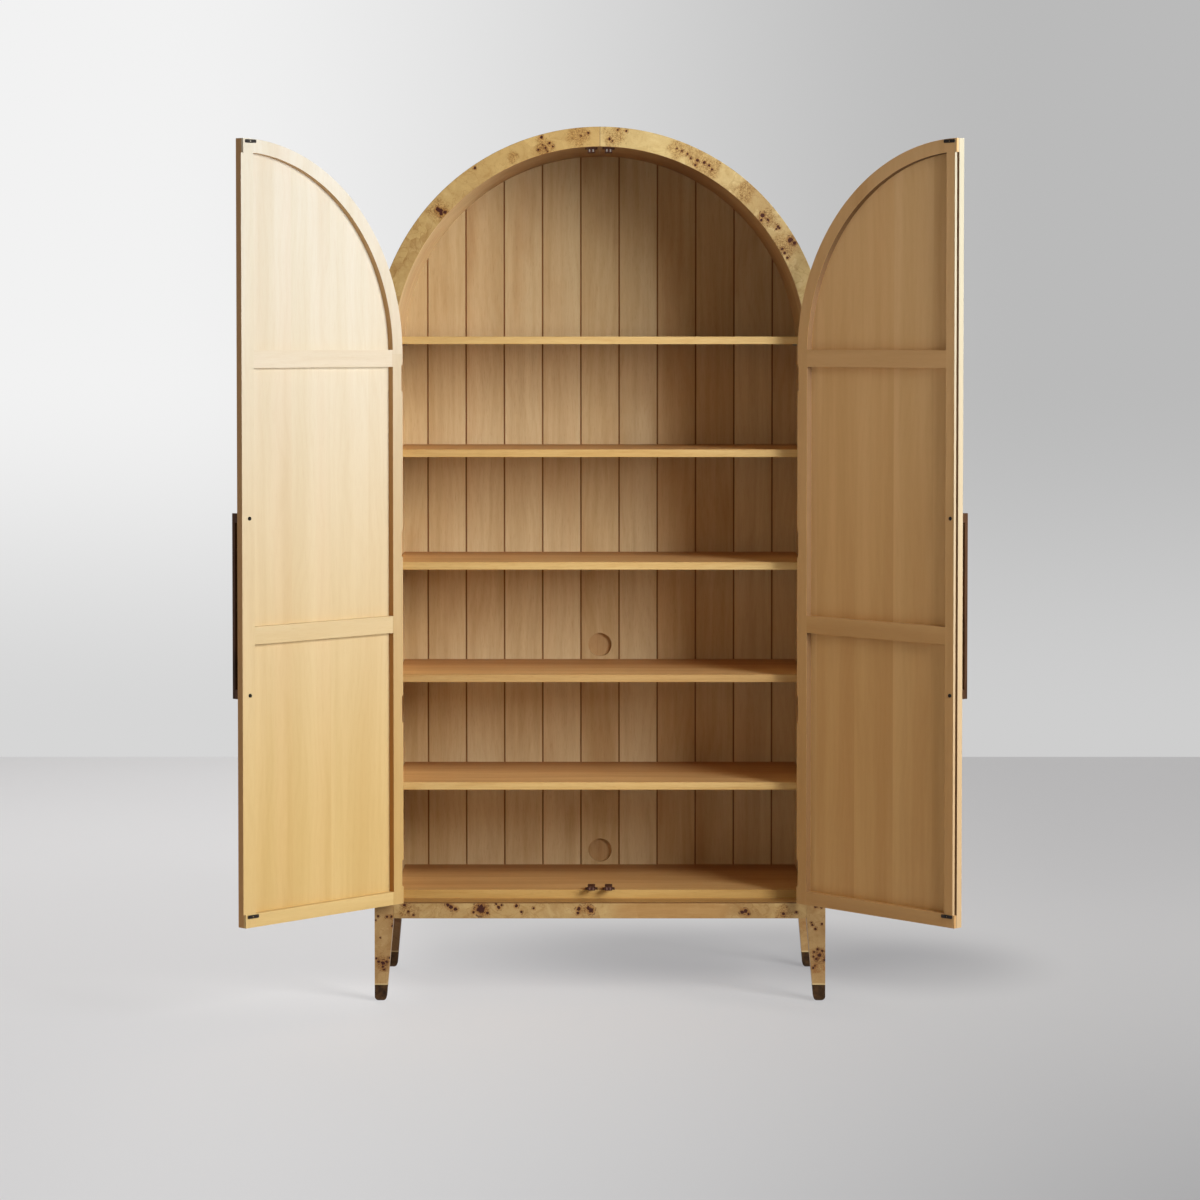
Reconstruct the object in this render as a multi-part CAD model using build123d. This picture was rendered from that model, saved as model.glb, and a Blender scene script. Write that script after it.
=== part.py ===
from build123d import *
from math import sqrt
import os

# A tall two-door storage cabinet with a half-round top, on four short tapered legs.
# Millimetres. X runs to the right, Y runs back from the front face, Z runs up from the floor.
# The origin is on the floor, midway between the sides, in the plane of the front face.
# The doors are built shut and then swung out to the angle at which they stand at rest.

# ---- carcase ----
WIDTH = 1100.0                # across the two sides
DEPTH = 480.0                 # front face to the rear edge of the sides
SPRING_Z = 1580.0             # height of the centre of the half-round top
SHELL = 48.0                  # thickness of the sides and of the arch
FACE_DEPTH = 40.0             # front posts and arch faces, front to back
FACE_JOINT = 0.1              # glue line between butted pieces
JOINT_V = 0.8                 # small V cut along the joint of each leg and the front rail
EASE = 0.8                    # flat eased along each sharp arris that a hand meets

# ---- legs, ferrules and rails ----
RAIL_BOTTOM_Z = 203.0         # underside of the rails
RAIL_HEIGHT = 40.0
LEG_TOP = 46.0                # square at the top
LEG_FOOT = 28.0               # square at the floor
FERRULE_HEIGHT = 40.0
FERRULE_WALL = 2.0
FERRULE_TOE = 13.0            # solid metal under the end of the wood
FERRULE_ROUND = 12.0          # rounding of the toe
FRONT_RAIL_DEPTH = 70.0
REAR_RAIL_DEPTH = 46.0
SIDE_RAIL_THICK = 30.0
TENON_LENGTH = 16.0
TENON_THICK = 18.0
TENON_SHOULDER = 7.0          # above and below each tenon
TENON_CLEARANCE = 0.2
CORNER_BLOCK_LEG = 45.0       # how far a corner block runs along each rail

# ---- deck, shelves and back ----
DECK_THICK = 21.0
FLOOR_FRONT_Y = 58.0          # front edges of the deck and the shelves
DECK_SIDE_GAP = 0.3
SHELF_THICK = 18.5
SHELF_SIDE_GAP = 1.0
SHELF_BACK_GAP = 1.0
LOWER_BAY = 246.5             # clear height of each lower bay
UPPER_BAY = 257.5             # clear height of each upper bay
LOWER_BAYS = 2
UPPER_BAYS = 3
SHELF_PIN_R = 2.5
SHELF_PIN_OUT = 11.0          # how far a pin stands out of the side
SHELF_PIN_IN = 12.0
SHELF_PIN_INSET = 45.0        # from the front and rear edges of a shelf
SHELF_PIN_SEAT = 0.05
BACK_THICK = 12.0
BACK_RECESS = 2.0             # from the rear edge of the sides to the boards
BACK_RABBET = 8.0             # how far the boards are let into the sides
BACK_GAP = 0.3
BOARD_PITCH = 98.0
BOARD_GAP = 0.3
BOARD_V = 1.8                 # chamfer on each front arris of a board
TONGUE_REACH = 4.0            # tongue on one edge of each board, groove in the other
TONGUE_THICK = 3.0
TONGUE_FIT = 0.15
CABLE_HOLE_R = 30.0
CABLE_HOLE_RISE = 37.0        # centre above the deck, and above the shelf over the lower bays

# ---- doors ----
DOOR_SKIN = 10.0              # outer panel
DOOR_FRAME = 16.0             # frame behind the panel
DOOR_SIDE_GAP = 1.5           # to the post and to the arch
DOOR_FOOT_GAP = 2.5           # to the front rail
MEETING_GAP = 2.0
HINGE_STILE = 31.5
MEETING_STILE = 31.5
BOTTOM_RAIL = 31.5
MID_RAIL = 41.0
LOWER_MID_RAIL_Z = 906.0      # underside of the lower middle rail
UPPER_MID_RAIL_Z = 1549.0     # underside of the upper middle rail
LIP_THICK = 6.0               # lip on the left door that shuts behind the right one
LIP_REACH = 6.0
LIP_CLEARANCE = 2.0
LIP_FROM_BOTTOM = 32.0
LIP_FROM_TOP = 34.0
LIP_END_GAP = 2.0             # the rabbet runs on past each end of the lip
MEETING_BEVEL = 1.2           # relief of the inner arris where there is no lip
MEETING_BEVEL_DEPTH = 12.5
DOOR_OPEN_DEG = 134.0         # each door's angle from shut, at rest

# ---- hinges ----
PIN_PROUD = 8.0               # pin axis in front of the front face
PIN_R = 2.5
PIN_CLEARANCE = 0.05
PIN_HEAD_R = 3.6
PIN_HEAD_HEIGHT = 2.2
BARREL_R = 5.2
HINGE_HEIGHT = 63.5
KNUCKLES = 5
KNUCKLE_GAP = 0.25
LEAF_THICK = 1.1
LEAF_GAP = 0.3                # between the two leaves of a shut hinge
LEAF_REACH = 20.0             # rear edge of the leaves behind the front face
LEAF_RELIEF = 0.6             # between a leaf and the other leaf's knuckles
LEAF_FIT = 0.1
LEAF_NOTCH = 4.5              # cut in the door's inner corner behind each leaf
LOW_HINGE_Z = 319.5
HINGE_PITCH = 400.7
HINGES = 4
SCREW_R = 1.3
SCREW_HEAD_R = 2.5
SCREW_LENGTH = 16.0
SCREW_Y = 13.5
SCREW_PITCH = 22.0
SCREW_FIT = 0.05

# ---- handles ----
HANDLE_WIDTH = 12.0
HANDLE_THICK = 10.0
HANDLE_STANDOFF = 20.0        # door face to the inner face of the bar
HANDLE_OVERHANG = 11.0        # bar beyond each bolt
HANDLE_POST_HEIGHT = 22.0
HANDLE_CENTRE_Z = 994.0
HANDLE_BOLT_PITCH = 412.0
HANDLE_INSET = 16.0           # bolts from the door's free edge
HANDLE_EASE = 0.8
BOLT_R = 2.2
BOLT_FIT = 0.1                # in the wood
THREAD_FIT = 0.05             # in the metal
BOLT_GRIP = 15.0              # thread inside the post
BOLT_HEAD_R = 4.4
BOLT_HEAD_HEIGHT = 2.4
BOLT_HEAD_ROUND = 0.8

# ---- catches ----
CATCH_OFFSET = 21.0           # each catch from the middle of the cabinet
CATCH_BODY_WIDTH = 18.0
CATCH_BODY_HEIGHT = 9.0
CATCH_BASE_WIDTH = 30.0
CATCH_BASE_THICK = 2.5
CATCH_BASE_BACK = 24.0        # base behind the front edge of the deck
CATCH_BODY_BACK = 18.0
CATCH_DROP = 3.5              # upper body's top below the crown of the arch
CATCH_EASE = 1.0
MAGNET_WIDTH = 3.2
MAGNET_HEIGHT = 6.0
MAGNET_PITCH = 8.8
MAGNET_OUT = 1.0
MAGNET_TO_STRIKE = 0.5
MAGNET_FIT = 0.05
STRIKE_WIDTH = 33.0
STRIKE_HEIGHT = 8.0
STRIKE_THICK = 1.5
STRIKE_EDGE = 23.0            # its centre from the door's free edge
STRIKE_HOLE_R = 1.6
STRIKE_CORNER_R = 2.5

# ---- what follows from the sizes above ----
HALF = WIDTH / 2
R_IN = HALF - SHELL
RAIL_TOP_Z = RAIL_BOTTOM_Z + RAIL_HEIGHT
DECK_TOP_Z = RAIL_TOP_Z + DECK_THICK
LEG_INNER_X = HALF - LEG_TOP
REAR_LEG_Y = DEPTH - LEG_TOP
BACK_REAR_Y = DEPTH - BACK_RECESS
BACK_FRONT_Y = BACK_REAR_Y - BACK_THICK
BACK_R = R_IN + BACK_RABBET - BACK_GAP
DOOR_R = R_IN - DOOR_SIDE_GAP
DOOR_THICK = DOOR_SKIN + DOOR_FRAME
DOOR_BOTTOM_Z = RAIL_TOP_Z + DOOR_FOOT_GAP
DOOR_EDGE_X = MEETING_GAP / 2
DOOR_CORNER_Z = SPRING_Z + sqrt(DOOR_R ** 2 - DOOR_EDGE_X ** 2)
PIN_X = R_IN - DOOR_SIDE_GAP / 2
PIN_Y = -PIN_PROUD
LEFT = -1
RIGHT = 1
SIDES = (LEFT, RIGHT)

SHELF_BOTTOMS = []
level = DECK_TOP_Z
for bay in range(LOWER_BAYS + UPPER_BAYS):
    level += LOWER_BAY if bay < LOWER_BAYS else UPPER_BAY
    SHELF_BOTTOMS.append(level)
    level += SHELF_THICK
HINGE_CENTRES = [LOW_HINGE_Z + n * HINGE_PITCH for n in range(HINGES)]
BOLT_HEIGHTS = [HANDLE_CENTRE_Z - HANDLE_BOLT_PITCH / 2, HANDLE_CENTRE_Z + HANDLE_BOLT_PITCH / 2]


# ---- helpers ----
def block(x0, x1, y0, y1, z0, z1):
    """A box between three pairs of coordinates, given in either order."""
    size = (abs(x1 - x0), abs(y1 - y0), abs(z1 - z0))
    return Pos((x0 + x1) / 2, (y0 + y1) / 2, (z0 + z1) / 2) * Box(*size)


def rod_x(x0, x1, y, z, radius):
    """A round bar along X."""
    return Pos((x0 + x1) / 2, y, z) * Rot(0, 90, 0) * Cylinder(radius, abs(x1 - x0))


def rod_y(x, y0, y1, z, radius):
    """A round bar along Y."""
    return Pos(x, (y0 + y1) / 2, z) * Rot(90, 0, 0) * Cylinder(radius, abs(y1 - y0))


def rod_z(x, y, z0, z1, radius):
    """A round bar along Z."""
    return Pos(x, y, (z0 + z1) / 2) * Cylinder(radius, abs(z1 - z0))


def column(points, z0, z1):
    """A prism along Z over an outline of (x, y) points."""
    outline = make_face(Polyline(*points, close=True))
    return Pos(0, 0, z0) * extrude(outline, z1 - z0, dir=(0, 0, 1))


def arched(radius, z0, y0, y1):
    """A full-width slab with straight sides and a half-round top, between two depths."""
    body = block(-radius, radius, y0, y1, z0, SPRING_Z)
    return body + rod_y(0, y0, y1, SPRING_Z, radius)


def half(side, z0, y0, y1):
    """The space on one side of the middle plane, above a height."""
    return block(0, side * WIDTH, y0, y1, z0, SPRING_Z + WIDTH)


def quarter_ring(side, inner, outer, y0, y1):
    """A quarter of a ring about the centre of the arch, on one side."""
    ring = rod_y(0, y0, y1, SPRING_Z, outer) - rod_y(0, y0, y1, SPRING_Z, inner)
    return ring & block(side * FACE_JOINT / 2, side * WIDTH, y0, y1, SPRING_Z, SPRING_Z + WIDTH)


def inner_width_at(z):
    """Half the clear width between the sides, or under the arch, at a height."""
    if z <= SPRING_Z:
        return R_IN
    return sqrt(R_IN ** 2 - (z - SPRING_Z) ** 2)


def swung(shape, side):
    """A door piece built shut, turned about its hinge pins to where it stands at rest."""
    pin = Pos(side * PIN_X, PIN_Y, 0)
    back = Pos(-side * PIN_X, -PIN_Y, 0)
    return pin * Rot(0, 0, side * DOOR_OPEN_DEG) * back * shape


def arrises(shape, kind, y):
    """Edges of one kind, such as those along Z, that lie at one depth."""
    return shape.edges().filter_by(kind).filter_by_position(Axis.Y, y - FACE_JOINT, y + FACE_JOINT)


def solids_of(shapes):
    """One compound of every solid in a list of shapes."""
    found = []
    for shape in shapes:
        found.extend(shape.solids())
    return Compound(children=found)


# ---- legs and ferrules ----
def leg_side(z):
    """Side of the square leg at a height; the two outer faces are upright, the inner two slope."""
    return LEG_FOOT + (LEG_TOP - LEG_FOOT) * min(z, RAIL_BOTTOM_Z) / RAIL_BOTTOM_Z


def leg_slice(side, rear, z, inset):
    """Square section of a leg at a height, drawn in by an inset on all four sides."""
    width = leg_side(z) - 2 * inset
    middle = inset + width / 2
    x = side * (HALF - middle)
    y = DEPTH - middle if rear else middle
    return Pos(x, y, z) * Rectangle(width, width)


def leg_taper(side, rear, z0, z1, inset):
    """Tapered stretch of a leg between two heights."""
    return loft([leg_slice(side, rear, z0, inset), leg_slice(side, rear, z1, inset)])


def tenon_span():
    """Bottom and top of every tenon."""
    return RAIL_BOTTOM_Z + TENON_SHOULDER, RAIL_TOP_Z - TENON_SHOULDER


def tenon_lines(rear):
    """Where the tenons of a cross rail and a side rail lie in a front or a rear leg."""
    low, high = tenon_span()
    mid_y = DEPTH - LEG_TOP / 2 if rear else LEG_TOP / 2
    inner_y = REAR_LEG_Y if rear else LEG_TOP
    far_y = inner_y + TENON_LENGTH if rear else inner_y - TENON_LENGTH
    mid_x = HALF - SIDE_RAIL_THICK / 2
    return (low, high, mid_y, inner_y, far_y, mid_x)


def leg(side, rear):
    low, high, mid_y, inner_y, far_y, mid_x = tenon_lines(rear)
    grow = TENON_CLEARANCE
    y0 = REAR_LEG_Y if rear else 0
    body = leg_taper(side, rear, FERRULE_HEIGHT, RAIL_BOTTOM_Z, 0)
    body += block(side * LEG_INNER_X, side * HALF, y0, y0 + LEG_TOP, RAIL_BOTTOM_Z, RAIL_TOP_Z)
    spigot = leg_taper(side, rear, FERRULE_TOE + grow, FERRULE_HEIGHT, FERRULE_WALL + FACE_JOINT)
    body += spigot
    reach = TENON_LENGTH + grow
    half_thick = TENON_THICK / 2 + grow
    body -= block(side * LEG_INNER_X, side * (LEG_INNER_X + reach), mid_y - half_thick,
                  mid_y + half_thick, low - grow, high + grow)
    toward = grow if rear else -grow
    body -= block(side * (mid_x - half_thick), side * (mid_x + half_thick), inner_y,
                  far_y + toward, low - grow, high + grow)
    if not rear:
        edge = side * LEG_INNER_X
        cut = [(edge - side * JOINT_V, -JOINT_V), (edge + side * 2 * JOINT_V, -JOINT_V), (edge, JOINT_V)]
        body -= column(cut, RAIL_BOTTOM_Z, RAIL_TOP_Z)
    return body


def ferrule(side, rear):
    cup = leg_taper(side, rear, 0, FERRULE_HEIGHT - FACE_JOINT, 0)
    cup = fillet(cup.edges().group_by(Axis.Z)[0], FERRULE_ROUND)
    return cup - leg_taper(side, rear, FERRULE_TOE, FERRULE_HEIGHT, FERRULE_WALL)


# ---- rails ----
def cross_rail(rear):
    """Front or rear rail, with a stub tenon into the leg at each end."""
    low, high, mid_y, inner_y, far_y, mid_x = tenon_lines(rear)
    end = LEG_INNER_X - FACE_JOINT
    y0, y1 = (DEPTH - REAR_RAIL_DEPTH, DEPTH) if rear else (0, FRONT_RAIL_DEPTH)
    body = block(-end, end, y0, y1, RAIL_BOTTOM_Z, RAIL_TOP_Z)
    body = chamfer(arrises(body, Axis.X, DEPTH if rear else 0), EASE)
    reach = LEG_INNER_X + TENON_LENGTH
    body += block(-reach, reach, mid_y - TENON_THICK / 2, mid_y + TENON_THICK / 2, low, high)
    if not rear:
        for side in SIDES:
            edge = side * end
            cut = [(edge - side * 2 * JOINT_V, -JOINT_V), (edge + side * JOINT_V, -JOINT_V), (edge, JOINT_V)]
            body -= column(cut, RAIL_BOTTOM_Z, RAIL_TOP_Z)
    return body


def side_rail(side):
    """Rail under one side, with a stub tenon into the front and the rear leg."""
    low, high = tenon_span()
    inner = side * (HALF - SIDE_RAIL_THICK)
    mid_x = HALF - SIDE_RAIL_THICK / 2
    body = block(inner, side * HALF, LEG_TOP + FACE_JOINT, REAR_LEG_Y - FACE_JOINT, RAIL_BOTTOM_Z, RAIL_TOP_Z)
    reach0 = LEG_TOP - TENON_LENGTH
    reach1 = REAR_LEG_Y + TENON_LENGTH
    x0 = side * (mid_x - TENON_THICK / 2)
    x1 = side * (mid_x + TENON_THICK / 2)
    return body + block(x0, x1, reach0, reach1, low, high)


def corner_blocks():
    """Glued blocks in the four corners of the rails, flush with their tops."""
    x_rail = HALF - SIDE_RAIL_THICK - FACE_JOINT
    x_leg = LEG_INNER_X - FACE_JOINT
    made = []
    for side in SIDES:
        y_leg = LEG_TOP + FACE_JOINT
        y_rail = FRONT_RAIL_DEPTH + FACE_JOINT
        front = [(x_leg, y_leg), (x_rail, y_leg), (x_rail, y_rail + CORNER_BLOCK_LEG),
                 (x_leg - CORNER_BLOCK_LEG, y_rail), (x_leg, y_rail)]
        y_rail = DEPTH - REAR_RAIL_DEPTH - FACE_JOINT
        rear = [(x_rail, y_rail), (x_rail, y_rail - CORNER_BLOCK_LEG), (x_leg - CORNER_BLOCK_LEG, y_rail)]
        for outline in (front, rear):
            points = [(side * x, y) for x, y in outline]
            made.append(column(points, RAIL_BOTTOM_Z, RAIL_TOP_Z - FACE_JOINT))
    return solids_of(made)


# ---- carcase ----
def frame_leaf_plates(side):
    """Plates of the fixed hinge leaves, without knuckles."""
    near = PIN_X + LEAF_GAP / 2
    front = PIN_Y + BARREL_R + LEAF_RELIEF
    plates = []
    for z in HINGE_CENTRES:
        low, high = z - HINGE_HEIGHT / 2, z + HINGE_HEIGHT / 2
        plates.append(block(side * near, side * (near + LEAF_THICK), front, LEAF_REACH, low, high))
    return plates


def door_leaf_plates(side):
    """Plates of the moving hinge leaves, without knuckles."""
    near = PIN_X - LEAF_GAP / 2
    front = PIN_Y + BARREL_R + LEAF_RELIEF
    plates = []
    for z in HINGE_CENTRES:
        low, high = z - HINGE_HEIGHT / 2, z + HINGE_HEIGHT / 2
        plates.append(block(side * near, side * (near - LEAF_THICK), front, LEAF_REACH, low, high))
    return plates


def screw_heights():
    """Heights of all the hinge screws on one side."""
    return [z + n * SCREW_PITCH for z in HINGE_CENTRES for n in (-1, 0, 1)]


def leaf_recess(side, outward):
    """What a leaf and its screws take out of the wood: outward for the post, inward for the door."""
    near = PIN_X + outward * LEAF_GAP / 2
    far = near + outward * (LEAF_THICK + LEAF_FIT)
    cut = []
    for z in HINGE_CENTRES:
        low, high = z - HINGE_HEIGHT / 2 - LEAF_FIT, z + HINGE_HEIGHT / 2 + LEAF_FIT
        cut.append(block(side * near, side * far, -LEAF_REACH, LEAF_REACH + LEAF_FIT, low, high))
        if outward < 0:
            notch = near - LEAF_NOTCH
            cut.append(block(side * near, side * notch, LEAF_REACH, DOOR_THICK + LEAF_FIT, low, high))
    deep = near + outward * (SCREW_LENGTH + SCREW_FIT)
    for z in screw_heights():
        cut.append(rod_x(side * near, side * deep, SCREW_Y, z, SCREW_R + SCREW_FIT))
    return cut


def post(side):
    """Upright at the front of one side, let in for the hinge leaves."""
    body = block(side * R_IN, side * HALF, 0, FACE_DEPTH, RAIL_TOP_Z + FACE_JOINT, SPRING_Z)
    body = chamfer(arrises(body, Axis.Z, 0), EASE)
    for cut in leaf_recess(side, 1):
        body -= cut
    return body


def arch_face(side):
    body = quarter_ring(side, R_IN, HALF, 0, FACE_DEPTH)
    return chamfer(arrises(body, GeomType.CIRCLE, 0), EASE)


def pin_depths():
    """Front and rear places of the pins under each shelf."""
    return (FLOOR_FRONT_Y + SHELF_PIN_INSET, BACK_FRONT_Y - SHELF_BACK_GAP - SHELF_PIN_INSET)


def shelf_pin_cuts(side):
    """Holes for the shelf pins in one side and its arch."""
    cuts = []
    for bottom in SHELF_BOTTOMS:
        z = bottom - SHELF_PIN_R - SHELF_PIN_SEAT
        far = R_IN + SHELF_PIN_IN
        for y in pin_depths():
            cuts.append(rod_x(side * (R_IN - SHELL), side * far, y, z, SHELF_PIN_R + SHELF_PIN_SEAT))
    return cuts


def back_cut(side):
    """The rabbet for the back boards in one side and its arch."""
    whole = arched(R_IN + BACK_RABBET, RAIL_TOP_Z, BACK_FRONT_Y, DEPTH)
    return whole & half(side, RAIL_TOP_Z, BACK_FRONT_Y, DEPTH)


def side_panel(side):
    body = block(side * R_IN, side * HALF, FACE_DEPTH + FACE_JOINT, DEPTH, RAIL_TOP_Z + FACE_JOINT, SPRING_Z)
    body = chamfer(arrises(body, Axis.Z, DEPTH).sort_by(Axis.X)[-1 if side == RIGHT else 0], EASE)
    body -= back_cut(side)
    for cut in shelf_pin_cuts(side):
        body -= cut
    return body


def arch_shell(side):
    body = quarter_ring(side, R_IN, HALF, FACE_DEPTH + FACE_JOINT, DEPTH)
    body = chamfer(arrises(body, GeomType.CIRCLE, DEPTH).sort_by(SortBy.RADIUS)[-1], EASE)
    body -= back_cut(side)
    for cut in shelf_pin_cuts(side):
        body -= cut
    return body


def deck():
    x = R_IN - DECK_SIDE_GAP
    body = block(-x, x, FLOOR_FRONT_Y, BACK_FRONT_Y - BACK_GAP, RAIL_TOP_Z, DECK_TOP_Z)
    return chamfer(arrises(body, Axis.X, FLOOR_FRONT_Y).sort_by(Axis.Z)[-1], EASE)


def shelf(bottom):
    x = inner_width_at(bottom + SHELF_THICK) - SHELF_SIDE_GAP
    body = block(-x, x, FLOOR_FRONT_Y, BACK_FRONT_Y - SHELF_BACK_GAP, bottom, bottom + SHELF_THICK)
    return chamfer(arrises(body, Axis.X, FLOOR_FRONT_Y), EASE)


def shelf_pins():
    made = []
    tip = R_IN - SHELF_PIN_OUT
    root = R_IN + SHELF_PIN_IN
    for bottom in SHELF_BOTTOMS:
        z = bottom - SHELF_PIN_R - SHELF_PIN_SEAT
        for side in SIDES:
            for y in pin_depths():
                made.append(rod_x(side * tip, side * root, y, z, SHELF_PIN_R))
    return solids_of(made)


def cable_holes():
    """Round holes through the back, over the deck and over one shelf."""
    over = [DECK_TOP_Z, SHELF_BOTTOMS[LOWER_BAYS - 1] + SHELF_THICK]
    return [rod_y(0, BACK_FRONT_Y - BACK_THICK, DEPTH, z + CABLE_HOLE_RISE, CABLE_HOLE_R) for z in over]


def back_boards():
    """Upright boards, tongued and grooved, with a V at every joint, cut to the arch at the top."""
    outline = arched(BACK_R, RAIL_TOP_Z + FACE_JOINT, BACK_FRONT_Y, BACK_REAR_Y)
    inside = int((BACK_R - BOARD_PITCH / 2) // BOARD_PITCH)
    count = 2 * inside + 1
    edges = [(n - count / 2) * BOARD_PITCH for n in range(count + 1)]
    edges = [-BACK_R - BOARD_GAP / 2] + edges + [BACK_R + BOARD_GAP / 2]
    made = []
    y0, y1, v = BACK_FRONT_Y, BACK_REAR_Y, BOARD_V
    t0 = (y0 + v + y1 - TONGUE_THICK) / 2
    t1 = t0 + TONGUE_THICK
    g0, g1 = t0 - TONGUE_FIT, t1 + TONGUE_FIT
    for n in range(len(edges) - 1):
        x0, x1 = edges[n] + BOARD_GAP / 2, edges[n + 1] - BOARD_GAP / 2
        tip, bed = x1 + TONGUE_REACH, x0 + TONGUE_REACH
        tongue = [(x1, t0), (tip, t0), (tip, t1), (x1, t1)] if n < len(edges) - 2 else []
        groove = [(x0, g1), (bed, g1), (bed, g0), (x0, g0)] if n > 0 else []
        face = [(x0, y0 + v), (x0 + v, y0), (x1 - v, y0), (x1, y0 + v)]
        profile = face + tongue + [(x1, y1), (x0, y1)] + groove
        board = column(profile, RAIL_TOP_Z, SPRING_Z + HALF) & outline
        for hole in cable_holes():
            if x0 < 0 < x1:
                board -= hole
        made.append(board)
    return solids_of(made)


# ---- hinges ----
def knuckles(side, moving):
    """Knuckles of the fixed or the moving leaves, each with its stub of plate."""
    length = (HINGE_HEIGHT - (KNUCKLES - 1) * KNUCKLE_GAP) / KNUCKLES
    near = PIN_X - LEAF_GAP / 2 if moving else PIN_X + LEAF_GAP / 2
    far = near - LEAF_THICK if moving else near + LEAF_THICK
    front = PIN_Y
    back = PIN_Y + BARREL_R + LEAF_RELIEF
    made = []
    for centre in HINGE_CENTRES:
        group = []
        for n in range(KNUCKLES):
            if (n % 2 == 1) != moving:
                continue
            low = centre - HINGE_HEIGHT / 2 + n * (length + KNUCKLE_GAP)
            barrel = rod_z(side * PIN_X, PIN_Y, low, low + length, BARREL_R)
            barrel += block(side * near, side * far, front, back, low, low + length)
            barrel -= rod_z(side * PIN_X, PIN_Y, low, low + length, PIN_R + PIN_CLEARANCE)
            group.append(barrel)
        made.append(group)
    return made


def countersunk(x_face, into, z):
    """A countersunk screw along X, its flat head flush with a leaf."""
    depth = SCREW_HEAD_R - SCREW_R
    head = Pos(x_face + into * depth / 2, SCREW_Y, z) * Rot(0, into * 90, 0)
    head = head * Cone(SCREW_HEAD_R, SCREW_R, depth)
    return head + rod_x(x_face + into * depth, x_face + into * SCREW_LENGTH, SCREW_Y, z, SCREW_R)


def hinge_screws(side, moving):
    near = PIN_X - LEAF_GAP / 2 if moving else PIN_X + LEAF_GAP / 2
    into = -side if moving else side
    sink = SCREW_FIT
    return [countersunk(side * near + into * sink, into, z) for z in screw_heights()]


def leaf_holes(side, moving):
    """Countersunk holes in the leaves of one side."""
    near = PIN_X - LEAF_GAP / 2 if moving else PIN_X + LEAF_GAP / 2
    into = -side if moving else side
    depth = SCREW_HEAD_R - SCREW_R
    cuts = []
    for z in screw_heights():
        head = Pos(side * near + into * depth / 2, SCREW_Y, z) * Rot(0, into * 90, 0)
        cuts.append(head * Cone(SCREW_HEAD_R + SCREW_FIT, SCREW_R + SCREW_FIT, depth))
        cuts.append(rod_x(side * near, side * near + into * SCREW_LENGTH, SCREW_Y, z, SCREW_R + SCREW_FIT))
    return cuts


def hinge_leaves(side, moving):
    plates = door_leaf_plates(side) if moving else frame_leaf_plates(side)
    holes = leaf_holes(side, moving)
    made = []
    for n, (plate, group) in enumerate(zip(plates, knuckles(side, moving))):
        leaf = plate
        for knuckle in group:
            leaf += knuckle
        for hole in holes[6 * n:6 * n + 6]:
            leaf -= hole
        made.append(leaf)
    return made


def hinge_pins():
    """Loose pins, each with a flat button at both ends."""
    made = []
    for side in SIDES:
        for centre in HINGE_CENTRES:
            low, high = centre - HINGE_HEIGHT / 2, centre + HINGE_HEIGHT / 2
            pin = rod_z(side * PIN_X, PIN_Y, low, high, PIN_R)
            pin += rod_z(side * PIN_X, PIN_Y, high + KNUCKLE_GAP, high + PIN_HEAD_HEIGHT, PIN_HEAD_R)
            pin += rod_z(side * PIN_X, PIN_Y, high, high + KNUCKLE_GAP, PIN_R)
            pin += rod_z(side * PIN_X, PIN_Y, low - PIN_HEAD_HEIGHT, low - KNUCKLE_GAP, PIN_HEAD_R)
            pin += rod_z(side * PIN_X, PIN_Y, low - KNUCKLE_GAP, low, PIN_R)
            made.append(pin)
    return solids_of(made)


# ---- doors, built shut ----
def door_field(side, inset, y0, y1, bottom):
    """One door's outline, drawn in by an inset along the hinge edge and the arch."""
    whole = arched(DOOR_R - inset, bottom, y0, y1)
    return whole & block(side * DOOR_EDGE_X, side * WIDTH, y0, y1, bottom, SPRING_Z + WIDTH)


def bolt_x():
    return DOOR_EDGE_X + HANDLE_INSET


def door_skin(side):
    body = door_field(side, 0, 0, DOOR_SKIN, DOOR_BOTTOM_Z)
    body = chamfer(body.faces().sort_by(Axis.Y)[0].edges(), EASE)
    for z in BOLT_HEIGHTS:
        body -= rod_y(side * bolt_x(), 0, DOOR_SKIN, z, BOLT_R + BOLT_FIT)
    for cut in leaf_recess(side, -1):
        body -= cut
    return body


def frame_ring(side):
    """The band of the door's frame along the hinge edge and the arch."""
    y0, y1 = DOOR_SKIN, DOOR_THICK
    band = door_field(side, 0, y0, y1, DOOR_BOTTOM_Z) - door_field(side, HINGE_STILE, y0, y1, DOOR_BOTTOM_Z)
    stile = DOOR_EDGE_X + MEETING_STILE + FACE_JOINT
    return band & block(side * stile, side * WIDTH, y0, y1, DOOR_BOTTOM_Z, SPRING_Z + WIDTH)


def hinge_stile(side):
    body = frame_ring(side) & half(side, DOOR_BOTTOM_Z, 0, DOOR_THICK)
    body &= block(0, side * WIDTH, DOOR_SKIN, DOOR_THICK, DOOR_BOTTOM_Z, SPRING_Z - FACE_JOINT)
    for cut in leaf_recess(side, -1):
        body -= cut
    return body


def arch_rail(side):
    body = frame_ring(side)
    return body & block(0, side * WIDTH, DOOR_SKIN, DOOR_THICK, SPRING_Z, SPRING_Z + WIDTH)


def door_rail(side, low, high):
    """A rail between the hinge stile and the meeting stile, cut to the arch where it meets it."""
    y0, y1 = DOOR_SKIN, DOOR_THICK
    field = door_field(side, HINGE_STILE + FACE_JOINT, y0, y1, DOOR_BOTTOM_Z)
    stile = DOOR_EDGE_X + MEETING_STILE + FACE_JOINT
    return field & block(side * stile, side * WIDTH, y0, y1, low, high)


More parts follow.
